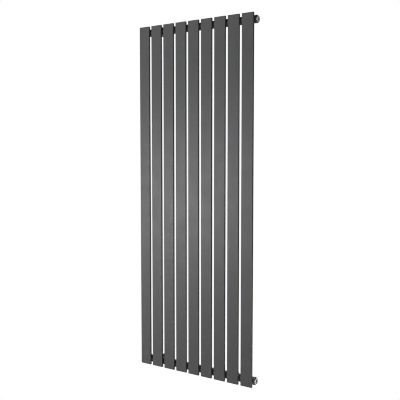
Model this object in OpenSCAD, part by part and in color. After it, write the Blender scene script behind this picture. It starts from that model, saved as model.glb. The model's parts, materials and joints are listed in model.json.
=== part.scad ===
// Tall flat-tube hot water radiator with its wall hanging set.
//
// A row of upright flat steel tubes is welded to the front of two round
// header pipes.  Each header end is closed by a collar with a threaded port:
// the two bottom ports take the valves, the top right one holds the air vent
// plug and the top left one the blanking plug.  The right ports stand out on
// smaller round bosses.  Four lugs with shouldered pins on the back of the
// headers hang in nylon-lined hook arms, which are clamped to four wall
// brackets through slots, so that the distance to the wall can be set.
//
// Frame: +X to the right seen from the room, -Y towards the room, +Z up.
// Origin: on the wall plane, at the centre of the rectangle of wall holes.
// Units: millimetres.

/* [Tubes] */
// Height of the flat tubes, end to end
tube_h = 1800; // [1200:50:2000]
// Width of one flat tube
tube_w = 62; // [58:1:64]
// Depth of one flat tube, front to back
tube_t = 11; // [10:0.5:12]
// Wall thickness of the flat tubes
tube_wall = 1.5; // [1.2:0.1:1.8]
// Outside corner radius of the flat tubes
tube_r = 2.2; // [1.9:0.1:3]
// Clear gap between neighbouring tubes
tube_gap = 14; // [12:1:16]
// Thickness of the plugs welded into the tube ends
cap_t = 2; // [1.5:0.5:4]

/* [Headers] */
// Outside diameter of the header pipes
header_d = 38; // [36:1:39]
// Wall thickness of the header pipes
header_wall = 2; // [1.6:0.1:2.5]
// Tube tops down to the axis of the top header
inset_top = 29; // [26:1:45]
// Axis of the bottom header up from the tube bottoms
inset_bottom = 26; // [26:1:45]
// Closed header ends beyond the outer edges of the outer tubes
collar_reach = 7; // [6:0.5:12]
// Bore radius of the necks that join tubes and headers
neck_bore_r = 4; // [2.5:0.5:4]

/* [Ports] */
// How far the two right port bosses stand out of the header ends
boss_out_right = 5.5; // [4:0.5:10]
// Outside radius of the right port bosses
boss_r = 14.8; // [13:0.1:16.5]
// Thread core radius of the half-inch ports
port_r = 9.3; // [9.3:0.05:9.4]
// Threaded length of each port
port_len = 14; // [12:1:16]
// Radius of the seal recess at the mouth of each port
recess_r = 10.8; // [10.6:0.1:11.2]

/* [Wall hanging] */
// Wall plane to the front of the tubes
wall_to_front = 98; // [97:1:110]
// Half distance between the hanging lugs, plate centre to radiator centre
lug_x = 223; // [180:1:235]
// Height of the lug plates
lug_h = 49; // [40:1:54]
// Middle of the lug plates above the header axis
lug_rise = 3.5; // [0:0.5:4]
// Radius of the hanging pins
pin_r = 4; // [3.5:0.1:4]
// Adjustment either way of the distance to the wall
adjust = 4; // [1:0.5:4]
// Height of the wall plates
plate_h = 52; // [50:1:70]
// Radius of the wall screw holes
wall_hole_r = 3.5; // [2.5:0.25:4]
// Wall holes above and below the header axis
wall_hole_dz = 18; // [14:1:20]

/* [Hidden] */

$fn = 64;
fit = 0.05;                       // gap of every close fit
over = 1;                         // how far cutters run past a face

coat = [0.26, 0.27, 0.28];
coat_dark = [0.20, 0.21, 0.22];
nickel = [0.78, 0.77, 0.74];
zinc = [0.70, 0.71, 0.72];
nylon = [0.12, 0.12, 0.13];
seal = [0.07, 0.07, 0.07];
raw = [0.50, 0.50, 0.51];

// tubes
tube_n = 9;
pitch = tube_w + tube_gap;
half_tubes = (tube_n - 1) / 2 * pitch + tube_w / 2;
bore_w = tube_w - 2 * tube_wall;
bore_t = tube_t - 2 * tube_wall;
bore_r = tube_r - tube_wall;
front_y = -wall_to_front;
tube_y = front_y + tube_t / 2;
tube_back_y = front_y + tube_t;
function tube_x(i) = (i - (tube_n + 1) / 2) * pitch;

// headers
header_pitch = tube_h - inset_top - inset_bottom;    // axis to axis
z_top = header_pitch / 2;
z_bot = -header_pitch / 2;
tube_z0 = z_bot - inset_bottom;                      // tube bottoms
tube_z1 = z_top + inset_top;                         // tube tops
weld_gap = 0.1;                                      // root gap, tube to header
header_r = header_d / 2;
header_ri = header_r - header_wall;
header_y = tube_back_y + weld_gap + header_r;
header_back_y = header_y + header_r;
collar_x = half_tubes + collar_reach;                // closed header ends
pipe_x = half_tubes + 2;                             // pipe ends, against the collars
insert_r = header_ri - 2 * fit;                      // parts inside the pipe
neck_r = neck_bore_r + 1;
neck_len = 7;
neck_y = tube_back_y - tube_wall - 1.5;              // front ends, inside the tubes
neck_cut = header_wall + 4;                          // cutter through the curved pipe wall
diverter_t = 1.5;

// ports
recess_d = 2;                                        // depth of the seal recess
boss_len = port_len + recess_d;
sleeve_lap = 0.5;                                    // port sleeve into the collar
boss_lap = 1;                                        // right boss into the collar
function port_x(side) = side > 0 ? collar_x + boss_out_right : collar_x;   // port faces

// port plugs
plug_len = 15;                                       // inner end to the port face
plug_proud = 0.5;
plug_gap = 0.1;                                      // radial, thread to port
head_gap = 0.2;                                      // radial, head to recess
head_lift = 1.2;                                     // head above the recess floor
well_d = 6;
well_flats = 12;                                     // hexagon across flats
seal_lift = 0.6;                                     // ring centre above the recess floor
seal_out = 0.65;                                     // ring centre beyond the thread core
seal_r = 0.57;                                       // ring section radius

// bleed valve
bleed_r = 3;
stem_r = 1;
bleed_square = 5;
square_len = 5.1;
groove_drop = 3.4;                                   // groove below the port axis
// cylinders along the port axis: [x from the port face, radius, length]
screw_bore = [-11, bleed_r + fit, 6];
air_passage = [-plug_len - over, 1.5, 6];
vent_groove = [-10.5, 0.9, 6];
screw_body = [-9.4, bleed_r, 4.4];
stem_socket = [-10.4, stem_r + fit, 2.8];
tip_disc = [-10.95, 2.6, 1.5];
tip_stem = [-9.5, stem_r, 1.6];

// lugs and pins
lug_t = 4;
lug_in = lug_x - lug_t / 2;                          // lug face towards the centre
lug_lo = lug_rise - lug_h / 2;
lug_hi = lug_rise + lug_h / 2;
pin_y = header_back_y + 10.9;
lug_front_y = header_y + 6;
lug_back_y = pin_y + 7;
lug_corner_y = 5;                                    // back corner cuts, along Y
lug_corner_z = 8;                                    // and along Z
pin_len = 13.5;
keeper_t = 2;
keeper_lip = 2.5;
spigot_r = pin_r - 0.5;                              // reduced end, through the lug
spigot_lap = 0.5;                                    // past each lug face
rivet_t = 1.5;
rivet_lip = 1.5;

// hook arms and liners; the arm lies inward of the lug, the bracket leg inward of the arm
arm_t = 3;
arm_out = lug_in - 5.9;
arm_in = arm_out - arm_t;
arm_h = 28;
arm_back_y = -6.5;
arm_back_cut = 1.5;                                  // chamfers at the back end
arm_neck_step = 3;                                   // arm narrows by this, top and bottom
arm_neck_y = pin_y + 19;                             // narrow part starts
arm_head_y = pin_y + 14;                             // full height ends
slot_r = pin_r + 1.7;                                // hook slot half width
nose_y = pin_y - slot_r - 3.3;
nose_cut_lo = 5;                                     // chamfers at the nose
nose_cut_hi = 1;
liner_flange_t = 1.15;
liner_lip = 1.5;                                     // flange beyond the slot
liner_top = arm_h / 2 - 0.5;

// wall brackets
leg_t = 3;                                           // plate thickness, leg and flange
leg_out = arm_in - 0.1;
leg_in = leg_out - leg_t;
leg_front_y = -26;
leg_front_h = 26;                                    // leg height at its front edge
taper_y = -10;                                       // end of the leg taper cutter
bend_r = 1.5;                                        // inside bend radius
flange_w = 28;
wall_hole_x = leg_out - 16;

// clamps
clamp_y = -15;
clamp_r = 3;
clamp_hole_r = 3.3;
clamp_flats = 10;                                    // bolt head and nut
bolt_head_t = 4;
bolt_end = 6.4;                                      // shank past the arm
nut_t = 5;
washer_t = 1.6;
washer_r = 6.2;
washer_gap = 0.2;
bolt_head_x = leg_in - washer_t - 2 * fit;           // underside of the head

// ---- helpers -------------------------------------------------------------

// corner points of a rounded rectangle
function rounded_rect(width, depth, radius, steps = 5) = [
  for (quarter = [0:3]) for (i = [0:steps])
    let (angle = 90 * quarter + 90 * i / steps,
         x = ((quarter == 0 || quarter == 3) ? 1 : -1) * (width / 2 - radius),
         y = ((quarter == 0 || quarter == 1) ? 1 : -1) * (depth / 2 - radius))
    [x + radius * cos(angle), y + radius * sin(angle)]
];

module bar(width, depth, radius, height) {
  linear_extrude(height = height) polygon(rounded_rect(width, depth, radius));
}

// cylinder along +X, starting at x
module xrod(x, radius, length) {
  translate([x, 0, 0]) rotate([0, 90, 0]) cylinder(r = radius, h = length);
}

// cylinder along +X from a row [x, radius, length]
module xrod_row(row) { xrod(row[0], row[1], row[2]); }

// hexagon prism along +X
module xhex(x, flats, length) {
  translate([x, 0, 0]) rotate([0, 90, 0])
    cylinder(r = flats / 2 / cos(30), h = length, $fn = 6);
}

// cylinder along +Y, starting at y
module yrod(x, y, z, radius, length) {
  translate([x, y, z]) rotate([-90, 0, 0]) cylinder(r = radius, h = length);
}

// plane figure in Y, Z, extruded along +X from x
module xplate(x, thickness) {
  translate([x, 0, 0]) rotate([90, 0, 90]) linear_extrude(height = thickness) children();
}

// places the right-hand pattern at either side: 1 right, -1 left
module at_side(side) { if (side > 0) children(); else mirror([1, 0, 0]) children(); }

// top port: x = 0 on the port face, +X out of the port
module at_top_port(side) {
  translate([0, header_y, z_top]) at_side(side) translate([port_x(side), 0, 0]) children();
}

// U shape round the pin axis, open upwards
module pin_slot(x, radius, length, height) {
  translate([0, pin_y, 0]) xrod(x, radius, length);
  translate([x, pin_y - radius, 0]) cube([length, 2 * radius, height]);
}

module at_clamps() {
  for (side = [-1, 1], z = [z_bot, z_top])
    translate([0, clamp_y, z]) at_side(side) children();
}

// ---- welded radiator -----------------------------------------------------

module flat_tube(i) {
  color(coat)
  difference() {
    translate([tube_x(i), tube_y, tube_z0]) bar(tube_w, tube_t, tube_r, tube_h);
    translate([tube_x(i), tube_y, tube_z0 - over])
      bar(bore_w, bore_t, bore_r, tube_h + 2 * over);
    for (z = [z_bot, z_top])
      yrod(tube_x(i), tube_back_y - tube_wall - over, z, neck_r + fit, tube_wall + 2 * over);
  }
}

module end_caps(z) {
  color(coat)
  for (i = [1:tube_n])
    translate([tube_x(i), tube_y, z])
      bar(bore_w - 2 * fit, bore_t - 2 * fit, bore_r - fit, cap_t);
}

module header_pipe(z) {
  color(coat)
  difference() {
    translate([0, header_y, z]) xrod(-pipe_x, header_r, 2 * pipe_x);
    translate([0, header_y, z]) xrod(-pipe_x - over, header_ri, 2 * (pipe_x + over));
    for (i = [1:tube_n])
      yrod(tube_x(i), header_y - header_r - over, z, neck_r + fit, neck_cut);
  }
}

module header_necks(z) {
  color(raw)
  for (i = [1:tube_n])
    difference() {
      yrod(tube_x(i), neck_y, z, neck_r, neck_len);
      yrod(tube_x(i), neck_y - over, z, neck_bore_r, neck_len + 2 * over);
    }
}

// end collar with its threaded sleeve; the right ones carry a boss
module port_boss(side, z) {
  face = port_x(side);
  color(coat)
  translate([0, header_y, z]) at_side(side)
  difference() {
    union() {
      xrod(pipe_x, header_r, collar_x - pipe_x);
      xrod(face - boss_len, insert_r, pipe_x + sleeve_lap - face + boss_len);
      if (side > 0) xrod(collar_x - boss_lap, boss_r, boss_out_right + boss_lap);
    }
    xrod(face - boss_len - over, port_r, boss_len + 2 * over);
    xrod(face - recess_d, recess_r, recess_d + over);
  }
}

// disc in the bottom header, midway between the two leftmost tubes
module flow_diverter() {
  color(raw)
  translate([0, header_y, z_bot])
    xrod((tube_x(1) + tube_x(2)) / 2 - diverter_t / 2, insert_r, diverter_t);
}

module hanger_lug(side, z) {
  color(coat)
  translate([0, 0, z]) at_side(side)
  difference() {
    xplate(lug_in, lug_t)
      polygon([
        [lug_front_y, lug_lo],
        [lug_back_y - lug_corner_y, lug_lo],
        [lug_back_y, lug_lo + lug_corner_z],
        [lug_back_y, lug_hi - lug_corner_z],
        [lug_back_y - lug_corner_y, lug_hi],
        [lug_front_y, lug_hi]
      ]);
    translate([0, header_y, 0]) xrod(lug_in - over, header_r + fit, lug_t + 2 * over);
    translate([0, pin_y, 0]) xrod(lug_in - over, spigot_r + fit, lug_t + 2 * over);
  }
}

// shouldered pin riveted through the lug, with a keeper head at its free end
module hanger_pin(side, z) {
  color(zinc)
  translate([0, pin_y, z]) at_side(side) {
    xrod(lug_in - pin_len, pin_r, pin_len);
    xrod(lug_in - pin_len - keeper_t, pin_r + keeper_lip, keeper_t);
    xrod(lug_in - spigot_lap, spigot_r, lug_t + 2 * spigot_lap);
    xrod(lug_in + lug_t, pin_r + rivet_lip, rivet_t);
  }
}

// ---- top port fittings ---------------------------------------------------

// threaded part and head, in port coordinates
module plug_shell() {
  head_x = head_lift - recess_d;
  xrod(-plug_len, port_r - plug_gap, plug_len + head_x + fit);
  xrod(head_x, recess_r - head_gap, plug_proud - head_x);
}

module plug_well() { xhex(plug_proud - well_d, well_flats, well_d + over); }

module vent_plug() {
  color(nickel)
  at_top_port(1)
  difference() {
    plug_shell();
    plug_well();
    xrod_row(screw_bore);
    xrod_row(air_passage);
    translate([0, 0, -groove_drop]) xrod_row(vent_groove);
  }
}

module plug_seal(side) {
  color(seal)
  at_top_port(side)
    translate([seal_lift - recess_d, 0, 0]) rotate([0, 90, 0])
      rotate_extrude() translate([port_r + seal_out, 0]) circle(r = seal_r, $fn = 24);
}

module bleed_screw() {
  color(nickel)
  at_top_port(1)
  difference() {
    union() {
      xrod_row(screw_body);
      translate([-square_len, -bleed_square / 2, -bleed_square / 2])
        cube([square_len, bleed_square, bleed_square]);
    }
    xrod_row(stem_socket);
  }
}

module bleed_tip_seal() {
  color(nylon)
  at_top_port(1) {
    xrod_row(tip_disc);
    xrod_row(tip_stem);
  }
}

module blanking_plug() {
  color(nickel)
  at_top_port(-1)
  difference() {
    plug_shell();
    plug_well();
  }
}

// ---- wall hanging set ----------------------------------------------------

// bend arc points about (leg_in - bend_r, -leg_t - bend_r), without the arc ends
function inner_bend(steps = 6) = [
  for (i = [1:steps - 1])
    let (angle = 90 * i / steps)
    [leg_in - bend_r + bend_r * sin(angle), -leg_t - bend_r + bend_r * cos(angle)]
];
function outer_bend(steps = 6) = [
  for (i = [1:steps - 1])
    let (angle = 90 * i / steps, radius = bend_r + leg_t)
    [leg_in - bend_r + radius * cos(angle), -leg_t - bend_r + radius * sin(angle)]
];

// bent plate, section in X, Y: flange on the wall, leg towards the room
bracket_section = concat(
  [[leg_out - flange_w, 0], [leg_out - flange_w, -leg_t], [leg_in - bend_r, -leg_t]],
  inner_bend(),
  [[leg_in, -leg_t - bend_r], [leg_in, leg_front_y]],
  [[leg_out, leg_front_y], [leg_out, -leg_t - bend_r]],
  outer_bend(),
  [[leg_in - bend_r, 0]]
);

module wall_bracket(side, z) {
  cut_x = leg_in - over;
  cut_t = leg_t + 2 * over;
  cut_y = leg_front_y - over;
  cut_z = plate_h / 2 + over;
  color(coat)
  translate([0, 0, z]) at_side(side)
  difference() {
    translate([0, 0, -plate_h / 2]) linear_extrude(height = plate_h)
      polygon(bracket_section);
    // leg narrows towards its front edge
    for (m = [-1, 1])
      xplate(cut_x, cut_t)
        polygon([[cut_y, m * leg_front_h / 2], [cut_y, m * cut_z], [taper_y, m * cut_z]]);
    // clamp slot
    for (m = [-1, 1])
      translate([0, clamp_y + m * adjust, 0]) xrod(cut_x, clamp_hole_r, cut_t);
    translate([cut_x, clamp_y - adjust, -clamp_hole_r])
      cube([cut_t, 2 * adjust, 2 * clamp_hole_r]);
    // wall screw holes
    for (m = [-1, 1])
      yrod(wall_hole_x, -leg_t - over, m * wall_hole_dz, wall_hole_r, cut_t);
  }
}

module hook_arm(side, z) {
  half_h = arm_h / 2;
  neck = half_h - arm_neck_step;
  color(coat_dark)
  translate([0, 0, z]) at_side(side)
  difference() {
    xplate(arm_in, arm_t)
      polygon([
        [nose_y, -half_h + nose_cut_lo], [nose_y + nose_cut_lo, -half_h],
        [arm_head_y, -half_h], [arm_neck_y, -neck],
        [arm_back_y - arm_back_cut, -neck], [arm_back_y, -neck + arm_back_cut],
        [arm_back_y, neck - arm_back_cut], [arm_back_y - arm_back_cut, neck],
        [arm_neck_y, neck], [arm_head_y, half_h],
        [nose_y + nose_cut_hi, half_h], [nose_y, half_h - nose_cut_hi]
      ]);
    pin_slot(arm_in - over, slot_r, arm_t + 2 * over, arm_h);
    translate([0, clamp_y, 0]) xrod(arm_in - over, clamp_hole_r, arm_t + 2 * over);
  }
}

// U-shaped nylon saddle, flanged over both faces of the arm
module hook_liner(side, z) {
  web_lap = 1;                                       // web into the flanges
  bore_over = 3;
  color(nylon)
  translate([0, 0, z]) at_side(side)
  difference() {
    union() {
      pin_slot(arm_in - web_lap, slot_r - fit, arm_t + 2 * web_lap, liner_top);
      for (x = [arm_in - fit - liner_flange_t, arm_out + fit])
        pin_slot(x, slot_r + liner_lip, liner_flange_t, liner_top);
    }
    pin_slot(arm_in - bore_over, pin_r + fit, arm_t + 2 * bore_over, arm_h);
  }
}

module clamp_bolts() {
  shank_x = bolt_head_x - fit;
  color(zinc)
  at_clamps() {
    xhex(bolt_head_x - bolt_head_t, clamp_flats, bolt_head_t);
    xrod(shank_x, clamp_r, arm_out + bolt_end - shank_x);
  }
}

module clamp_washers() {
  color(zinc)
  at_clamps()
  difference() {
    xrod(leg_in - washer_t - fit, washer_r, washer_t);
    xrod(leg_in - washer_t - fit - over, clamp_r + washer_gap, washer_t + 2 * over);
  }
}

module clamp_nuts() {
  color(zinc)
  at_clamps()
  difference() {
    xhex(arm_out + fit, clamp_flats, nut_t);
    xrod(arm_out + fit - over, clamp_r + fit, nut_t + 2 * over);
  }
}

// ---- nodes ---------------------------------------------------------------

flat_tube(1);  // flat_tube_1
flat_tube(2);  // flat_tube_2
flat_tube(3);  // flat_tube_3
flat_tube(4);  // flat_tube_4
flat_tube(5);  // flat_tube_5
flat_tube(6);  // flat_tube_6
flat_tube(7);  // flat_tube_7
flat_tube(8);  // flat_tube_8
flat_tube(9);  // flat_tube_9
end_caps(tube_z1 - cap_t);  // tube_end_caps_top
end_caps(tube_z0);  // tube_end_caps_bottom
header_pipe(z_top);  // header_pipe_top
header_pipe(z_bot);  // header_pipe_bottom
header_necks(z_top);  // header_necks_top
header_necks(z_bot);  // header_necks_bottom
port_boss(-1, z_top);  // port_boss_top_left
port_boss(1, z_top);  // port_boss_top_right
port_boss(-1, z_bot);  // port_boss_bottom_left
port_boss(1, z_bot);  // port_boss_bottom_right
flow_diverter();
hanger_lug(-1, z_top);  // hanger_lug_top_left
hanger_lug(1, z_top);  // hanger_lug_top_right
hanger_lug(-1, z_bot);  // hanger_lug_bottom_left
hanger_lug(1, z_bot);  // hanger_lug_bottom_right
hanger_pin(-1, z_top);  // hanger_pin_top_left
hanger_pin(1, z_top);  // hanger_pin_top_right
hanger_pin(-1, z_bot);  // hanger_pin_bottom_left
hanger_pin(1, z_bot);  // hanger_pin_bottom_right
vent_plug();
plug_seal(1);  // vent_plug_seal
bleed_screw();
bleed_tip_seal();
blanking_plug();
plug_seal(-1);  // blanking_plug_seal
wall_bracket(-1, z_top);  // wall_bracket_top_left
wall_bracket(1, z_top);  // wall_bracket_top_right
wall_bracket(-1, z_bot);  // wall_bracket_bottom_left
wall_bracket(1, z_bot);  // wall_bracket_bottom_right
hook_arm(-1, z_top);  // hook_arm_top_left
hook_arm(1, z_top);  // hook_arm_top_right
hook_arm(-1, z_bot);  // hook_arm_bottom_left
hook_arm(1, z_bot);  // hook_arm_bottom_right
hook_liner(-1, z_top);  // hook_liner_top_left
hook_liner(1, z_top);  // hook_liner_top_right
hook_liner(-1, z_bot);  // hook_liner_bottom_left
hook_liner(1, z_bot);  // hook_liner_bottom_right
clamp_bolts();
clamp_washers();
clamp_nuts();
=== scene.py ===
# Looks for a tall flat-tube radiator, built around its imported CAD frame.
# It stands upright along Z, centred on X. Nine flat tubes form the front, facing -Y. Two round
# headers run along X behind them, and the hanging set lies behind the headers, towards +Y.
# The frame's units are metres. Sizes and profiles here are in millimetres, scaled by MM when the
# vertices are made; shader, floor, light and camera values are in metres.
import json
import math
import random

import bmesh
import bpy
from mathutils import Matrix, Vector

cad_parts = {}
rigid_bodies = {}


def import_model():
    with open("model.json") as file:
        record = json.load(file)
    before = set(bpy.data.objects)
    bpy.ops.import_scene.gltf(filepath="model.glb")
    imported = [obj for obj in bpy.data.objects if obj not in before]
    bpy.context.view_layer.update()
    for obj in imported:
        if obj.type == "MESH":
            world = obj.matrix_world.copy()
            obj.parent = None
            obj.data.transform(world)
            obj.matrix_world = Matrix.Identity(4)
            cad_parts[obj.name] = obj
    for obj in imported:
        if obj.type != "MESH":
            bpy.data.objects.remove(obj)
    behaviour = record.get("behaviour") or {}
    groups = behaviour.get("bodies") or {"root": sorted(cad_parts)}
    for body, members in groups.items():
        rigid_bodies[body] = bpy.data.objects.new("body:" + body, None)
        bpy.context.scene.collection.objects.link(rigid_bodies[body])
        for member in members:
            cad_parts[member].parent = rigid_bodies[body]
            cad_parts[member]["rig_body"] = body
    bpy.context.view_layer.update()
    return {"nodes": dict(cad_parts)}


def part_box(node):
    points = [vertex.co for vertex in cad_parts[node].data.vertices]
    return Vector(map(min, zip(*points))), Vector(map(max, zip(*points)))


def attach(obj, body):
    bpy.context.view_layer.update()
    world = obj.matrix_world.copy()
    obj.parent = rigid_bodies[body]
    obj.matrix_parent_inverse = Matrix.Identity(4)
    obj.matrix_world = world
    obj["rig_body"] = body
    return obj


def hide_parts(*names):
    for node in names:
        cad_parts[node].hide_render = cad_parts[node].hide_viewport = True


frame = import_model()
scene = bpy.context.scene
rng = random.Random(824)
MM = 0.001
TAU = 2 * math.pi

# ---------------------------------------------------------------- driving sizes, mm

TUBE_COUNT = 9
TUBE_PITCH = 76.0
TUBE_X = [(i - TUBE_COUNT // 2) * TUBE_PITCH for i in range(TUBE_COUNT)]
TUBE_WIDTH, TUBE_DEPTH = 62.0, 11.0
TUBE_WALL = 1.5
TUBE_CORNER = 2.2
TUBE_FRONT_Y = -98.0
TUBE_BOTTOM, TUBE_TOP = -898.5, 901.5

HEADER_RADIUS, HEADER_BORE = 19.0, 17.0
HEADER_Y = -67.9
HEADER_Z = 872.5
HEADERS = {"top": HEADER_Z, "bottom": -HEADER_Z}

# side along X (-1 left, 1 right, seen from the front) and height of each corner
CORNERS = {
    f"{level}_{hand}": (side, z)
    for level, z in HEADERS.items()
    for hand, side in (("left", -1), ("right", 1))
}

# ---------------------------------------------------------------- shader tools


def cleared_tree(owner):
    owner.use_nodes = True
    owner.node_tree.nodes.clear()
    return owner.node_tree


def add_node(tree, kind, inputs=None, **settings):
    """Adds a node. An input given as a socket is linked, any other value is set."""
    node = tree.nodes.new(kind)
    for name, value in settings.items():
        setattr(node, name, value)
    for key, value in (inputs or {}).items():
        if isinstance(value, bpy.types.NodeSocket):
            tree.links.new(value, node.inputs[key])
        else:
            node.inputs[key].default_value = value
    return node


def shaded(colour, factor):
    return [c * factor for c in colour]


class Surface:
    """A principled material and the texture steps that feed it, in object coordinates."""

    def __init__(self, name):
        self.mat = bpy.data.materials.new(name)
        self.tree = cleared_tree(self.mat)
        output = self.add("OutputMaterial")
        self.bsdf = self.add("BsdfPrincipled")
        self.tree.links.new(self.bsdf.outputs[0], output.inputs[0])
        self.coord = self.add("TexCoord").outputs["Object"]

    def add(self, kind, inputs=None, **settings):
        return add_node(self.tree, "ShaderNode" + kind, inputs, **settings)

    def set(self, name, value):
        socket = self.bsdf.inputs[name]
        if isinstance(value, bpy.types.NodeSocket):
            self.tree.links.new(value, socket)
        else:
            socket.default_value = value

    def noise(self, scale, detail=2.0, rough=0.5, stretch=None):
        noise = self.add("TexNoise", {"Scale": scale, "Detail": detail, "Roughness": rough})
        source = self.coord
        if stretch:
            source = self.add("Mapping", {"Scale": stretch, "Vector": source}).outputs[0]
        self.tree.links.new(source, noise.inputs["Vector"])
        return noise.outputs["Fac"]

    def span(self, value, start, end, lo=0.0, hi=1.0):
        """Maps start..end to lo..hi, clamped."""
        inputs = {"From Min": start, "From Max": end, "To Min": lo, "To Max": hi, "Value": value}
        return self.add("MapRange", inputs, clamp=True).outputs[0]

    def math(self, operation, a, b=None):
        inputs = {0: a} if b is None else {0: a, 1: b}
        return self.add("Math", inputs, operation=operation).outputs[0]

    def mix(self, factor, a, b, blend="MIX"):
        a, b = (c if isinstance(c, bpy.types.NodeSocket) else (*c, 1) for c in (a, b))
        inputs = {"Factor": factor, 6: a, 7: b}
        return self.add("Mix", inputs, data_type="RGBA", blend_type=blend).outputs[2]

    def bump(self, height, strength, distance, normal=None):
        inputs = {"Strength": strength, "Distance": distance, "Height": height}
        if normal is not None:
            inputs["Normal"] = normal
        return self.add("Bump", inputs).outputs[0]

    def edge(self, radius):
        """0 on flat ground, towards 1 on edges: how far a rounded normal leaves the true one."""
        bevel = self.add("Bevel", {"Radius": radius}, samples=4)
        geometry = self.add("NewGeometry")
        normals = {0: bevel.outputs[0], 1: geometry.outputs["Normal"]}
        dot = self.add("VectorMath", normals, operation="DOT_PRODUCT")
        return self.span(dot.outputs["Value"], start=1.0, end=0.8)

    def turning_marks(self, centre_y, centre_z, frequency):
        """Rings round an axis along X; the X term carries them along the sides as well."""
        axes = self.add("SeparateXYZ", {0: self.coord}).outputs
        y = self.math("SUBTRACT", axes["Y"], centre_y)
        z = self.math("SUBTRACT", axes["Z"], centre_z)
        square_y, square_z = self.math("MULTIPLY", y, y), self.math("MULTIPLY", z, z)
        radius = self.math("SQRT", self.math("ADD", square_y, square_z))
        radius = self.math("ADD", radius, self.math("MULTIPLY", axes["X"], 0.7))
        return self.math("SINE", self.math("MULTIPLY", radius, frequency))


# ---------------------------------------------------------------- materials


def powder_coat(name, base, rough=0.46):
    """Satin powder coat: orange peel, fine speckle, slow drift of tone, lighter worn edges."""
    m = Surface(name)
    drift = m.noise(scale=2.1, detail=3.0)
    speck = m.add("TexVoronoi", {"Scale": 2600.0, "Vector": m.coord}, feature="F1").outputs
    drift = m.span(drift, start=0.3, end=0.7)
    tone = m.mix(drift, shaded(base, factor=0.965), shaded(base, factor=1.035))
    grain = m.span(speck["Color"], start=0.2, end=0.9, lo=0.955, hi=1.045)
    grey = m.add("CombineColor", {i: grain for i in range(3)}).outputs[0]
    tone = m.mix(1.0, tone, grey, blend="MULTIPLY")
    patches = m.noise(scale=38.0, detail=4.0, rough=0.6)
    worn = m.math("MULTIPLY", m.edge(radius=0.0011), m.span(patches, start=0.42, end=0.62))
    worn_colour = [min(1, c * 1.9 + 0.02) for c in base]
    m.set("Base Color", m.mix(m.math("MULTIPLY", worn, 0.45), tone, worn_colour))

    broad = m.noise(scale=14.0, detail=3.0)
    broad = m.span(broad, start=0.25, end=0.75, lo=rough - 0.03, hi=rough + 0.04)
    fine = m.span(m.noise(scale=420.0), start=0.3, end=0.7, lo=-0.02, hi=0.02)
    m.set("Roughness", m.math("ADD", broad, fine))
    m.set("IOR", 1.5)
    peel = m.bump(m.noise(scale=620.0, rough=0.45), strength=0.22, distance=0.00005)
    m.set("Normal", m.bump(speck["Distance"], strength=0.06, distance=0.00002, normal=peel))
    return m.mat


def metal(name, base, rough, marks=None, dull=0.0):
    """Plated or bare metal: fine scratches, optional turning marks, blotches of dullness."""
    m = Surface(name)
    blot = m.noise(scale=90.0, detail=4.0, rough=0.6)
    dulled = shaded(base, factor=0.86 - dull)
    m.set("Base Color", m.mix(m.span(blot, start=0.35, end=0.7), base, dulled))
    m.set("Metallic", 1.0)
    fine = m.noise(scale=1500.0, detail=3.0, rough=0.6, stretch=(0.2, 1.0, 1.0))
    blotches = m.span(blot, start=0.3, end=0.7, lo=rough - 0.05, hi=rough + 0.08)
    scratches = m.span(fine, start=0.3, end=0.7, lo=-0.04, hi=0.05)
    m.set("Roughness", m.math("ADD", blotches, scratches))
    normal = m.bump(fine, strength=0.25, distance=0.00003)
    if marks:
        rings = m.turning_marks(**marks)
        normal = m.bump(rings, strength=0.18, distance=0.00002, normal=normal)
    m.set("Normal", normal)
    return m.mat


def plastic(name, base, rough):
    """Rubber or nylon with a fine grain."""
    m = Surface(name)
    grain = m.noise(scale=1100.0)
    drift = m.span(m.noise(scale=60.0), start=0.3, end=0.7)
    m.set("Base Color", m.mix(drift, shaded(base, factor=0.85), shaded(base, factor=1.2)))
    m.set("Roughness", m.span(grain, start=0.3, end=0.7, lo=rough - 0.05, hi=rough + 0.06))
    m.set("Normal", m.bump(grain, strength=0.3, distance=0.00004))
    return m.mat


ANTHRACITE = (0.120, 0.1205, 0.1215)
PORT_MARKS = dict(centre_y=HEADER_Y * MM, centre_z=HEADER_Z * MM, frequency=9000.0)
mat_coat = powder_coat("anthracite_coat", ANTHRACITE)
mat_plates = powder_coat("anthracite_coat_plates", shaded(ANTHRACITE, factor=0.92), rough=0.5)
mat_weld = powder_coat("anthracite_coat_welds", shaded(ANTHRACITE, factor=0.98), rough=0.43)
mat_thread = metal("bare_thread", base=(0.80, 0.79, 0.77), rough=0.22)
mat_steel = metal("mill_steel", base=(0.42, 0.42, 0.43), rough=0.45, dull=0.1)
mat_zinc = metal("zinc_plate", base=(0.66, 0.67, 0.69), rough=0.33)
mat_nickel = metal("nickel_plate", base=(0.80, 0.785, 0.76), rough=0.2, marks=PORT_MARKS)
mat_rubber = plastic("seal_rubber", base=(0.022, 0.022, 0.023), rough=0.62)
mat_nylon = plastic("black_nylon", base=(0.035, 0.035, 0.037), rough=0.48)

# ---------------------------------------------------------------- mesh tools
# A solid is a pair (vertices in metres, faces).


def install(mesh, bm, name, mats, sharp_angle, body, slot, replaces, material_at=None):
    """Writes bm to the mesh, shades it smooth between sharp edges and hands it to the frame."""
    bmesh.ops.recalc_face_normals(bm, faces=bm.faces)
    for face in bm.faces:
        face.smooth = True
    bm.to_mesh(mesh)
    bm.free()
    mesh.set_sharp_from_angle(angle=math.radians(sharp_angle))
    mesh.materials.clear()
    for mat in mats:
        mesh.materials.append(mat)
    if material_at:
        for polygon in mesh.polygons:
            polygon.material_index = material_at(polygon.center)
    ob = bpy.data.objects.new(name, mesh)
    scene.collection.objects.link(ob)
    # large faces keep their own normal, small rounded ones bend between them
    weighted = ob.modifiers.new("weighted", "WEIGHTED_NORMAL")
    weighted.keep_sharp = True
    weighted.weight = 60
    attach(ob, body)
    if replaces:
        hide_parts(replaces)


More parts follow.
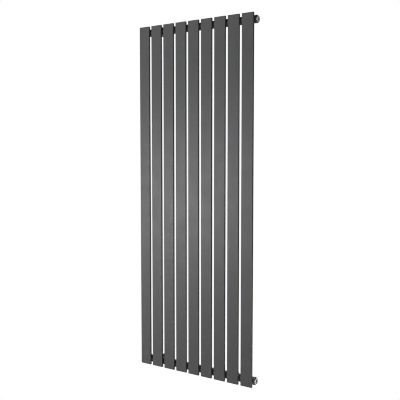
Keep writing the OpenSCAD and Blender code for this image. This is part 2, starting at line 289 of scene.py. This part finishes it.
def add_solid(name, solid, mats, sharp_angle, replaces=None, body="radiator",
              slot="powder_coat", material_at=None):
    verts, faces = solid
    mesh = bpy.data.meshes.new(name)
    mesh.from_pydata(verts, [], faces)
    bm = bmesh.new()
    bm.from_mesh(mesh)
    bmesh.ops.remove_doubles(bm, verts=bm.verts, dist=1e-7)
    bmesh.ops.dissolve_degenerate(bm, edges=bm.edges, dist=1e-8)
    install(mesh, bm, name, mats, sharp_angle, body, slot, replaces, material_at)


def add_softened(node, bevel, mat, slot, suffix="finish"):
    """The CAD node's own surface at the same size, with its edges rounded by bevel mm."""
    source = frame["nodes"][node]
    name = f"{node}_{suffix}"
    mesh = source.data.copy()
    mesh.name = name
    for attribute in ("custom_normal", "sharp_edge", "sharp_face"):
        if attribute in mesh.attributes:
            mesh.attributes.remove(mesh.attributes[attribute])
    bm = bmesh.new()
    bm.from_mesh(mesh)
    bmesh.ops.remove_doubles(bm, verts=bm.verts, dist=2e-6)
    bmesh.ops.dissolve_limit(bm, angle_limit=math.radians(0.6), verts=bm.verts,
                             edges=bm.edges, use_dissolve_boundaries=False)
    bmesh.ops.recalc_face_normals(bm, faces=bm.faces)
    sharp = [e for e in bm.edges
             if len(e.link_faces) == 2 and e.calc_face_angle(0) > math.radians(28.0)]
    bmesh.ops.bevel(bm, geom=sharp, offset=bevel * MM, segments=2, profile=0.6,
                    affect="EDGES", clamp_overlap=True, offset_type="OFFSET")
    bmesh.ops.remove_doubles(bm, verts=bm.verts, dist=1e-7)
    install(mesh, bm, name, [mat], 40, source["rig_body"], slot, node)


def join_solids(solids):
    verts, faces = [], []
    for part_verts, part_faces in solids:
        start = len(verts)
        verts += part_verts
        faces += [tuple(i + start for i in face) for face in part_faces]
    return verts, faces


def loft(rings, wrap=False):
    """Quads between successive closed rings; wrap joins last to first, otherwise both are capped."""
    n, count = len(rings[0]), len(rings)
    verts = [point for ring in rings for point in ring]
    faces = []
    for k in range(count if wrap else count - 1):
        a, b = k * n, ((k + 1) % count) * n
        for i in range(n):
            j = (i + 1) % n
            faces.append((a + i, a + j, b + j, b + i))
    if not wrap:
        faces.append(tuple(reversed(range(n))))
        faces.append(tuple((count - 1) * n + i for i in range(n)))
    return verts, faces


def rounded_rect(width, depth, radius, steps):
    """Anticlockwise (x, y) in mm about the origin, with steps per corner."""
    points = []
    for quarter in range(4):
        x = (width / 2 - radius) * (1 if quarter in (0, 3) else -1)
        y = (depth / 2 - radius) * (1 if quarter in (0, 1) else -1)
        for i in range(steps + 1):
            angle = math.radians(90 * quarter + 90 * i / steps)
            points.append((x + radius * math.cos(angle), y + radius * math.sin(angle)))
    return points


def placed(outline, x, y, z):
    """An (x, y) outline in mm as a level ring in metres."""
    return [((x + dx) * MM, (y + dy) * MM, z * MM) for dx, dy in outline]


def filleted(points, steps):
    """points: (x, r, fillet). Rounds each corner by its fillet, shortened where sides are short."""
    out = []
    for i, (x, r, fillet) in enumerate(points):
        if fillet <= 0:
            out.append((x, r))
            continue
        corner = Vector((x, r))
        before = Vector(points[i - 1][:2]) - corner
        after = Vector(points[(i + 1) % len(points)][:2]) - corner
        reach = 0.49 * before.length, 0.49 * after.length
        before.normalize()
        after.normalize()
        half = math.acos(max(-1, min(1, before.dot(after)))) / 2
        setback = min(fillet / math.tan(half), *reach)
        radius = setback * math.tan(half)
        centre = corner + (before + after).normalized() * (radius / math.sin(half))
        start = corner + before * setback - centre
        end = corner + after * setback - centre
        first = math.atan2(start.y, start.x)
        turn = (math.atan2(end.y, end.x) - first + math.pi) % TAU - math.pi
        for k in range(steps + 1):
            angle = first + turn * k / steps
            out.append((centre.x + radius * math.cos(angle), centre.y + radius * math.sin(angle)))
    return out


def turned(profile, centre, segments, side=1, wrap=True, shape=None, shift=0.0):
    """Turns a profile of (x, r) in mm about an axis along X through centre (y, z).
    x and r may be functions of the angle, and shape(angle, x, r) may change both. shift is then
    added to x, and side -1 mirrors it. wrap joins the profile's ends; otherwise they are capped."""
    centre_y, centre_z = centre
    rings = []
    for profile_x, profile_r in profile:
        ring = []
        for i in range(segments):
            angle = TAU * i / segments
            x = profile_x(angle) if callable(profile_x) else profile_x
            r = profile_r(angle) if callable(profile_r) else profile_r
            if shape:
                x, r = shape(angle, x, r)
            ring.append((side * (x + shift) * MM, (centre_y + r * math.cos(angle)) * MM,
                         (centre_z + r * math.sin(angle)) * MM))
        rings.append(ring)
    return loft(rings, wrap)


def polygon(flats, count, turn=0.0, limit=math.inf):
    """Radius, as a function of angle, of a regular polygon that wide across flats."""
    step = TAU / count

    def radius(angle):
        return min(flats / 2 / math.cos((angle - turn) % step - step / 2), limit)

    return radius


def thread(start, end, radius, depth, pitch, steps_per_turn=8):
    """Profile points and a shape function for a helix that runs out at both ends.
    A positive depth cuts outwards from radius (female), a negative one inwards (male)."""
    count = int((end - start) / pitch * steps_per_turn)
    points = [(start + (end - start) * k / count, radius) for k in range(count + 1)]

    def shape(angle, x, r):
        if abs(r - radius) > 1e-6 or x < start - 1e-6 or x > end + 1e-6:
            return x, r
        phase = ((x - start) / pitch - angle / TAU) % 1.0
        triangle = 1 - abs(2 * phase - 1)
        cut = max(0.0, min(1.0, (triangle - 0.12) / 0.76))
        cut = cut * cut * (3 - 2 * cut) * 0.35 + cut * 0.65
        run_out = min(1.0, (x - start) / pitch, (end - x) / pitch)
        return x, r + depth * cut * max(0.0, run_out)

    return points, shape


def bead(path, radii, across):
    """Round weld bead along a path in mm, its ends drawn in. across is a vector off the path."""
    sides, taper = 10, 4
    points = [Vector(p) for p in path]
    last = len(points) - 1
    rings = []
    for k, point in enumerate(points):
        along = (points[min(k + 1, last)] - points[max(k - 1, 0)]).normalized()
        a = (across - along * across.dot(along)).normalized()
        b = along.cross(a)
        radius = radii[k]
        from_end = min(k, last - k)
        if from_end < taper:
            radius *= math.sqrt(1 - (1 - (from_end + 0.15) / (taper + 0.15)) ** 2)
        ring = []
        for i in range(sides):
            angle = TAU * i / sides
            offset = a * (radius * math.cos(angle)) + b * (radius * math.sin(angle))
            ring.append(tuple((point + offset) * MM))
        rings.append(ring)
    return loft(rings)


# ---------------------------------------------------------------- flat tubes


def flat_tube(node):
    """Outer skin, rounded rims and the start of the bore as one closed hollow section."""
    lo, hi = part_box(node)
    x, y = (lo.x + hi.x) / 2 / MM, (lo.y + hi.y) / 2 / MM
    rim = 0.55

    def mouth(end, up):
        """(z, inset) from the outer skin over the rim and into the bore."""
        levels = []
        for degrees in (0, 22.5, 45, 67.5, 90):
            angle = math.radians(degrees)
            levels.append((end - up * rim * (1 - math.sin(angle)), rim * (1 - math.cos(angle))))
        levels.append((end, TUBE_WALL - 0.25))
        levels.append((end - up * 0.25, TUBE_WALL))
        levels.append((end - up * 14.0, TUBE_WALL))
        return levels

    levels = mouth(lo.z / MM, -1)[::-1]
    levels += [(z, 0.0) for z in (-600, -300, 0, 300, 600)]
    levels += mouth(hi.z / MM, 1)
    rings = []
    for z, inset in levels:
        outline = rounded_rect(TUBE_WIDTH - 2 * inset, TUBE_DEPTH - 2 * inset,
                               max(TUBE_CORNER - inset, 0.7), steps=7)
        rings.append(placed(outline, x, y, z))
    add_solid(node + "_skin", loft(rings, wrap=True), [mat_coat], 50, node)


for i in range(TUBE_COUNT):
    flat_tube(f"flat_tube_{i + 1}")

# end caps: plates let into the tube mouths, with the fused seam round each
MOUTH_WIDTH, MOUTH_DEPTH = TUBE_WIDTH - 2 * TUBE_WALL, TUBE_DEPTH - 2 * TUBE_WALL
TUBE_Y = TUBE_FRONT_Y + TUBE_DEPTH / 2
CAP_GAP = 0.1
CAP_CORNER = 0.65
# depth below the tube end, inset from the plate's outline
CAP_LEVELS = ((2.0, 0.3), (1.75, 0.0), (0.75, 0.0), (0.5, 0.12), (0.4, 0.45), (0.34, 1.4),
              (0.3, 2.6))


def cap_plate(x, end, up):
    width, depth = MOUTH_WIDTH - CAP_GAP, MOUTH_DEPTH - CAP_GAP
    rings = []
    for below, inset in CAP_LEVELS:
        outline = rounded_rect(width - 2 * inset, depth - 2 * inset,
                               max(CAP_CORNER - inset * 0.4, 0.25), steps=5)
        rings.append(placed(outline, x, TUBE_Y, end - up * below))
    return loft(rings)


def cap_seam(x, end, up):
    """A low, slightly uneven bead that follows the mouth."""
    corners = [Vector(p) for p in rounded_rect(MOUTH_WIDTH, MOUTH_DEPTH, 0.75, steps=5)]
    path = []
    for k, a in enumerate(corners):
        b = corners[(k + 1) % len(corners)]
        steps = max(1, int((b - a).length / 1.6))
        path += [a.lerp(b, q / steps) for q in range(steps)]
    rings = []
    for k, point in enumerate(path):
        along = (path[(k + 1) % len(path)] - path[k - 1]).normalized()
        outward = Vector((along.y, -along.x))
        radius = 0.5 * (1 + 0.12 * math.sin(k * 1.9) + 0.08 * (rng.random() - 0.5))
        ring = []
        for q in range(8):
            angle = TAU * q / 8
            offset = outward * (radius * 1.25 * math.cos(angle))
            z = end - up * 0.56 + up * radius * math.sin(angle) * 0.9
            ring.append(((x + point.x + offset.x) * MM, (TUBE_Y + point.y + offset.y) * MM,
                         z * MM))
        rings.append(ring)
    return loft(rings, wrap=True)


for label, end, up in (("top", TUBE_TOP, 1), ("bottom", TUBE_BOTTOM, -1)):
    solids = []
    for x in TUBE_X:
        solids += [cap_plate(x, end, up), cap_seam(x, end, up)]
    node = f"tube_end_caps_{label}"
    add_solid(node + "_welded", join_solids(solids), [mat_weld], 45, node)

# ---------------------------------------------------------------- headers and welds

PIPE_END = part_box("header_pipe_top")[1].x / MM
PORT_FACE = {  # distance of each side's port face from the centre
    1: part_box("port_boss_top_right")[1].x / MM,
    -1: -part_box("port_boss_top_left")[0].x / MM,
}
LUG_FACES = ((221.0, -1), (225.0, 1))  # distance from the centre, way the face looks


def header_pipe(label, z):
    end, stations = PIPE_END, 24
    profile = [(-end, HEADER_RADIUS - 0.5)]
    profile += [(-end + 0.5 + (2 * end - 1) * k / stations, HEADER_RADIUS)
                for k in range(stations + 1)]
    profile += [(end, HEADER_RADIUS - 0.5), (end, HEADER_BORE + 0.2), (end - 0.2, HEADER_BORE),
                (-end + 0.2, HEADER_BORE), (-end, HEADER_BORE + 0.2)]
    node = f"header_pipe_{label}"
    add_solid(node + "_skin", turned(profile, (HEADER_Y, z), 96), [mat_coat], 35, node)


for label, z in HEADERS.items():
    header_pipe(label, z)


def tube_weld(tube_x, header_z, up):
    """Bead across the back of a tube, above or below the header's line of contact."""
    count, half_length = 84, 29.0
    phase = rng.random() * 6
    path, radii = [], []
    for k in range(count):
        x = tube_x - half_length + 2 * half_length * (k / (count - 1))
        path.append((x, -86.05 + 0.07 * math.sin(x * 0.45 + phase),
                     header_z + up * (7.3 + 0.12 * math.sin(x * 0.31 + phase))))
        ripple = 0.07 * math.sin(x * TAU / 2.1 + phase) + 0.03 * math.sin(x * 0.9 + phase)
        radii.append(1.95 * (1 + ripple))
    return bead(path, radii, across=Vector((0, 1, 0)))


def port_weld(header_z, side):
    """Ring weld between header pipe and port boss."""
    count, half_width, sunk = 150, 1.9, 0.25
    rings = []
    for k in range(count):
        angle = TAU * k / count
        ripple = 0.16 * math.sin(58 * angle) + 0.1 * math.sin(3 * angle + side)
        height = 0.55 * (1 + ripple)
        ring = []
        for q in range(9):
            w = -1 + 2 * q / 8
            r = HEADER_RADIUS - sunk + (height + sunk) * math.sqrt(max(0.0, 1 - w * w))
            ring.append((side * (PIPE_END + half_width * w) * MM,
                         (HEADER_Y + r * math.cos(angle)) * MM,
                         (header_z + r * math.sin(angle)) * MM))
        rings.append(ring)
    return loft(rings, wrap=True)


def lug_weld(header_z, side, face, outward):
    """Arc round the rear of the header, on one face of a hanger lug."""
    count = 66
    r = HEADER_RADIUS + 0.25
    phase = rng.random() * 6
    path, radii = [], []
    for k in range(count):
        angle = math.radians(-66 + 132 * k / (count - 1))
        path.append((side * (face + outward * 0.35), HEADER_Y + r * math.cos(angle),
                     header_z + r * math.sin(angle)))
        radii.append(1.6 * (1 + 0.08 * math.sin(k * 1.9 + phase)))
    return bead(path, radii, across=Vector((1, 0, 0)))


for label, z in HEADERS.items():
    solids = [tube_weld(x, z, up) for x in TUBE_X for up in (1, -1)]
    solids += [port_weld(z, side) for side in (1, -1)]
    solids += [lug_weld(z, side, *face) for side in (1, -1) for face in LUG_FACES]
    add_solid(f"header_welds_{label}", join_solids(solids), [mat_weld], 60)

# ---------------------------------------------------------------- port bosses

COLLAR_FACE = 342.0
PORT_THREAD_RADIUS, PORT_THREAD_DEPTH, PORT_THREAD_PITCH = 9.3, 1.12, 1.814


def port_boss(corner, side, z):
    """Collar that closes a header end, with a threaded port. The right ones have a bare spigot."""
    face, end = PORT_FACE[side], PIPE_END
    points, shape = thread(face - 15.3, face - 2.7, PORT_THREAD_RADIUS, PORT_THREAD_DEPTH,
                           PORT_THREAD_PITCH)
    # x, r, fillet
    outline = [(face - 16.0, 16.9, 0.6), (end - 0.05, 16.9, 0),
               (end - 0.05, HEADER_RADIUS - 0.5, 0), (end + 0.5, HEADER_RADIUS, 0),
               (COLLAR_FACE, HEADER_RADIUS, 1.4)]
    if side > 0:
        outline += [(COLLAR_FACE, 14.8, 0.5), (face, 14.8, 0.8)]
    outline += [(face, 11.25, 0), (face - 0.45, 10.8, 0), (face - 2.0, 10.8, 0),
                (face - 2.0, 10.0, 0), (face - 2.7, PORT_THREAD_RADIUS, 0)]
    profile = filleted(outline, 6) + points[::-1][1:] + [(face - 16.0, 10.0)]

    def material_at(point):
        """1 (bare) on the spigot and in the port, 0 (coated) elsewhere."""
        x = abs(point.x)
        r = math.hypot(point.y - HEADER_Y * MM, point.z - z * MM)
        spigot = side > 0 and x > (COLLAR_FACE + 0.45) * MM
        port = r < 0.0113 and x > (face - 15.9) * MM
        return 1 if spigot or port else 0

    node = f"port_boss_{corner}"
    solid = turned(profile, (HEADER_Y, z), 80, side, shape=shape)
    add_solid(node + "_threaded", solid, [mat_coat, mat_thread], 42, node,
              material_at=material_at)


for corner, (side, z) in CORNERS.items():
    port_boss(corner, side, z)

# ---------------------------------------------------------------- plugs, bleed screw, seals
# The profiles are drawn for a port face at NOMINAL_FACE and shifted to the real one.

NOMINAL_FACE = 345.0
PLUG_FACE = NOMINAL_FACE + 0.5


def top_port_part(profile, side, segments, **options):
    return turned(profile, (HEADER_Y, HEADER_Z), segments, side,
                  shift=PORT_FACE[side] - NOMINAL_FACE, **options)


def plug(name, side, replaces, through):
    """Flanged plug with a hexagonal well; through continues the well as a stepped bore."""
    well, well_mouth = polygon(12.0, 6), polygon(12.9, 6)
    profile = filleted([(331.0, 9.2, 0.7), (343.25, 9.2, 0), (343.25, 9.0, 0),
                        (344.2, 9.0, 0.15), (344.2, 10.6, 0.15), (PLUG_FACE, 10.6, 0.45),
                        (PLUG_FACE, 7.9, 0)], 4)
    profile += [(PLUG_FACE, well_mouth), (PLUG_FACE - 0.4, well), (342.5, well), (339.75, well),
                (339.5, 5.6)]
    if through:
        profile += [(339.5, 3.5), (339.2, 3.05), (336.0, 3.05), (334.05, 3.05), (334.0, 2.6),
                    (334.0, 1.5), (330.5, 1.5), (330.0, 2.0)]
    else:
        profile = [(331.0, 1.2)] + profile + [(339.35, 3.2), (339.3, 1.2)]
    solid = top_port_part(profile, side, 72, wrap=through)
    add_solid(name, solid, [mat_nickel], 32, replaces, slot="nickel_plate")


def bleed_screw():
    """Threaded shank and a square key head with chamfered corners."""

    def square(flats, limit):
        return polygon(flats, 4, math.radians(45), limit)

    points, shape = thread(335.9, 339.4, 3.0, -0.5, 1.0)
    profile = [(338.4, 0.55), (337.4, 1.05), (335.75, 1.05), (335.6, 1.2), (335.6, 2.7),
               (335.85, 3.0)]
    profile += points
    profile += [(339.7, 3.0), (339.95, 2.75), (340.0, 2.5), (340.05, square(4.5, 2.95)),
                (340.35, square(5.0, 3.46)), (344.5, square(5.0, 3.46)),
                (344.85, square(4.5, 2.95)), (345.0, square(3.9, 2.35)), (345.0, 1.0)]
    solid = top_port_part(profile, 1, 64, wrap=False, shape=shape)
    add_solid("bleed_screw_keyed", solid, [mat_nickel], 32, "bleed_screw",
              body="bleed_screw", slot="nickel_plate")


def bleed_tip_seal():
    profile = filleted([(334.05, 2.6, 0.35), (335.55, 2.6, 0.25), (335.55, 1.0, 0.15),
                        (337.1, 1.0, 0.3)], 3)
    profile = [(334.05, 0.4)] + profile + [(337.1, 0.3)]
    solid = top_port_part(profile, 1, 48, wrap=False)
    add_solid("bleed_tip_seal_moulded", solid, [mat_nylon], 35, "bleed_tip_seal",
              body="bleed_tip", slot="nylon")


def o_ring(plug_name, side):
    x, r, thickness, steps = 343.6, 9.95, 0.57, 20
    profile = [(x + thickness * math.cos(TAU * k / steps), r + thickness * math.sin(TAU * k / steps))
               for k in range(steps)]
    add_solid(plug_name + "_o_ring", top_port_part(profile, side, 80), [mat_rubber], 60,
              plug_name + "_seal", slot="seal_rubber")


plug("vent_plug_turned", 1, "vent_plug", through=True)
plug("blanking_plug_turned", -1, "blanking_plug", through=False)
bleed_screw()
bleed_tip_seal()
o_ring("vent_plug", 1)
o_ring("blanking_plug", -1)

# ---------------------------------------------------------------- hanging set

PIN_Y = -38.0
CLAMP_Y = -15.0
# node, edge bevel in mm, material, slot
HANGING_PIECES = (
    ("hanger_lug", 0.5, mat_plates, "powder_coat"),
    ("wall_bracket", 0.45, mat_plates, "powder_coat"),
    ("hook_arm", 0.45, mat_plates, "powder_coat"),
    ("hook_liner", 0.3, mat_nylon, "nylon"),
)


def hanger_pin(corner, side, z):
    """Headed pin whose narrow end passes through the lug and is spread beyond it."""
    profile = filleted([(205.5, 6.5, 0.7), (207.5, 6.5, 0.35), (207.5, 4.0, 0.3),
                        (220.98, 4.0, 0), (220.98, 3.5, 0), (225.0, 3.5, 0),
                        (225.02, 5.5, 0.2), (226.5, 4.6, 0.9)], 5)
    profile = [(205.5, 1.5)] + profile + [(226.5, 0.8)]
    node = f"hanger_pin_{corner}"
    add_solid(node + "_turned", turned(profile, (PIN_Y, z), 56, side, wrap=False), [mat_zinc],
              32, node, slot="zinc_plate")


for corner, (side, z) in CORNERS.items():
    for piece, bevel, mat, slot in HANGING_PIECES:
        add_softened(f"{piece}_{corner}", bevel, mat, slot)
    hanger_pin(corner, side, z)

HEX_SIDES = polygon(10.0, 6)
HEX_FACE_RADIUS = 4.75


def hex_chamfer(x, way):
    """Where the 30 degree chamfer round a hexagon's end face at x meets the flats."""
    return lambda angle: x + way * (HEX_SIDES(angle) - HEX_FACE_RADIUS) * math.tan(math.radians(30))


def clamp_bolt(side, z):
    head = 203.3
    points, shape = thread(211.0, 221.1, 3.0, -0.5, 1.0, steps_per_turn=7)
    profile = [(head, 1.5), (head, HEX_FACE_RADIUS), (hex_chamfer(head, 1), HEX_SIDES),
               (head + 3.7, HEX_SIDES), (head + 4.0, 4.7), (head + 4.0, 3.1), (207.4, 3.0)]
    profile += points + [(221.2, 2.7), (221.5, 2.3), (221.5, 0.8)]
    return turned(profile, (CLAMP_Y, z), 48, side, wrap=False, shape=shape)


def clamp_washer(side, z):
    profile = filleted([(207.35, 6.2, 0.3), (208.95, 6.2, 0.5), (208.95, 3.2, 0.15),
                        (207.35, 3.2, 0.15)], 3)
    return turned(profile, (CLAMP_Y, z), 56, side)


def clamp_nut(side, z):
    near, far = 215.15, 220.15
    profile = [(near, 3.35), (near, HEX_FACE_RADIUS), (hex_chamfer(near, 1), HEX_SIDES),
               (hex_chamfer(far, -1), HEX_SIDES), (far, HEX_FACE_RADIUS), (far, 3.35),
               (far - 0.35, 3.05), (near + 0.35, 3.05)]
    return turned(profile, (CLAMP_Y, z), 48, side)


for node, suffix, make in (
    ("clamp_bolts", "cut", clamp_bolt),
    ("clamp_washers", "pressed", clamp_washer),
    ("clamp_nuts", "cut", clamp_nut),
):
    solids = [make(side, z) for side in (-1, 1) for z in HEADERS.values()]
    add_solid(f"{node}_{suffix}", join_solids(solids), [mat_zinc], 30, node,
              body="hook_arms", slot="zinc_plate")

# hidden steel inside the headers, its edges slightly broken
for node in ("header_necks_top", "header_necks_bottom", "flow_diverter"):
    add_softened(node, 0.15, mat_steel, "bare_steel", suffix="deburred")

# ---------------------------------------------------------------- floor and world, metres

WHITE = (1, 1, 1, 1)
FLOOR_HALF = 30.0
FLOOR_Z = TUBE_BOTTOM * MM - 0.15


def floor_material():
    """Pure white to the camera, pale diffuse to other rays, see-through from below."""
    mat = bpy.data.materials.new("pale_floor")
    tree = cleared_tree(mat)
    diffuse = add_node(tree, "ShaderNodeBsdfDiffuse", {0: (0.8, 0.8, 0.8, 1)})
    white = add_node(tree, "ShaderNodeEmission", {"Color": WHITE, "Strength": 1.0})
    rays = add_node(tree, "ShaderNodeLightPath")
    clear = add_node(tree, "ShaderNodeBsdfTransparent")
    geometry = add_node(tree, "ShaderNodeNewGeometry")
    top = add_node(tree, "ShaderNodeMixShader", {
        0: rays.outputs["Is Camera Ray"], 1: diffuse.outputs[0], 2: white.outputs[0]})
    both = add_node(tree, "ShaderNodeMixShader", {
        0: geometry.outputs["Backfacing"], 1: top.outputs[0], 2: clear.outputs[0]})
    add_node(tree, "ShaderNodeOutputMaterial", {0: both.outputs[0]})
    return mat


def studio_floor():
    mesh = bpy.data.meshes.new("studio_floor")
    corners = [(x * FLOOR_HALF, y * FLOOR_HALF, FLOOR_Z)
               for x, y in ((-1, -1), (1, -1), (1, 1), (-1, 1))]
    mesh.from_pydata(corners, [], [(0, 1, 2, 3)])
    floor = bpy.data.objects.new("studio_floor", mesh)
    scene.collection.objects.link(floor)
    mesh.materials.append(floor_material())


def studio_world():
    """White to the camera; otherwise a dim fill that is stronger from behind (+Y)."""
    world = bpy.data.worlds.new("studio")
    scene.world = world
    tree = cleared_tree(world)
    coord = add_node(tree, "ShaderNodeTexCoord")
    axes = add_node(tree, "ShaderNodeSeparateXYZ", {0: coord.outputs["Generated"]})
    strength = add_node(tree, "ShaderNodeMapRange", {
        "From Min": -0.2, "From Max": 0.5, "To Min": 0.05, "To Max": 0.12,
        "Value": axes.outputs["Y"]}, interpolation_type="SMOOTHSTEP")
    fill = add_node(tree, "ShaderNodeBackground", {0: WHITE, 1: strength.outputs[0]})
    seen = add_node(tree, "ShaderNodeBackground", {0: WHITE, 1: 1.0})
    rays = add_node(tree, "ShaderNodeLightPath")
    mixed = add_node(tree, "ShaderNodeMixShader", {
        0: rays.outputs["Is Camera Ray"], 1: fill.outputs[0], 2: seen.outputs[0]})
    add_node(tree, "ShaderNodeOutputWorld", {0: mixed.outputs[0]})


studio_floor()
studio_world()

# ---------------------------------------------------------------- lights and camera, metres

# name, location, target, width, height, watts, spread in degrees
LIGHTS = (
    ("key_softbox", (-1.8, -3.0, -0.28), (0, -0.1, 0.0), 1.0, 0.6, 30.8, 180),
    ("key_softbox_upper", (-1.7, -2.6, 0.0), (0, -0.1, 0.05), 0.8, 0.8, 12.6, 180),
    ("overhead_softbox", (-1.5, -2.3, 2.5), (0, -0.1, 0.1), 1.3, 1.0, 19.8, 180),
    ("right_fill", (3.0, -1.6, 1.0), (0.2, -0.1, 0.4), 1.2, 1.4, 5.1, 180),
    ("rear_softbox", (-2.4, 2.4, 0.8), (0, 0, 0), 2.2, 1.6, 34.0, 180),
    ("plug_kicker", (1.2, 1.68, 1.32), (0.345, -0.07, 0.8725), 0.7, 0.7, 0.045, 60),
    ("floor_wash", (0.9, 0.3, 0.4), (0.9, 0.3, -1.0), 0.8, 0.8, 5.0, 50),
)
for name, location, target, width, height, watts, spread in LIGHTS:
    light = bpy.data.lights.new(name, "AREA")
    light.shape = "RECTANGLE"
    light.size, light.size_y = width, height
    light.energy = watts
    light.spread = math.radians(spread)
    ob = bpy.data.objects.new(name, light)
    ob.location = location
    aim = Vector(target) - Vector(location)
    ob.rotation_euler = aim.to_track_quat("-Z", "Y").to_euler()
    scene.collection.objects.link(ob)
    ob.visible_camera = False

scene.view_settings.view_transform = "Standard"
scene.view_settings.look = "None"
scene.view_settings.exposure = 0
scene.view_settings.gamma = 1
scene.cycles.filter_width = 1.1  # narrow, for crisp edges

# radians: the view turns left from +Y by CAMERA_YAW and dips by CAMERA_DIP
CAMERA_YAW, CAMERA_DIP = 0.555532, 0.0572417
# measured from the tubes' front plane in Y and their lower ends in Z
CAMERA_PLACE = (1.58736, TUBE_FRONT_Y * MM - 2.49071, TUBE_BOTTOM * MM + 1.13217)


def photo_camera():
    data = bpy.data.cameras.new("photo_camera")
    camera = bpy.data.objects.new("photo_camera", data)
    scene.collection.objects.link(camera)
    data.sensor_width = 36
    data.lens = 52.6131
    data.shift_x, data.shift_y = -0.0003, -0.03
    data.clip_start, data.clip_end = 0.05, 100
    forward = Vector((-math.sin(CAMERA_YAW) * math.cos(CAMERA_DIP),
                      math.cos(CAMERA_YAW) * math.cos(CAMERA_DIP), -math.sin(CAMERA_DIP)))
    right = Vector((math.cos(CAMERA_YAW), math.sin(CAMERA_YAW), 0))
    rotation = Matrix((right, right.cross(forward), -forward)).transposed()
    camera.matrix_world = Matrix.Translation(CAMERA_PLACE) @ rotation.to_4x4()
    scene.camera = camera


photo_camera()
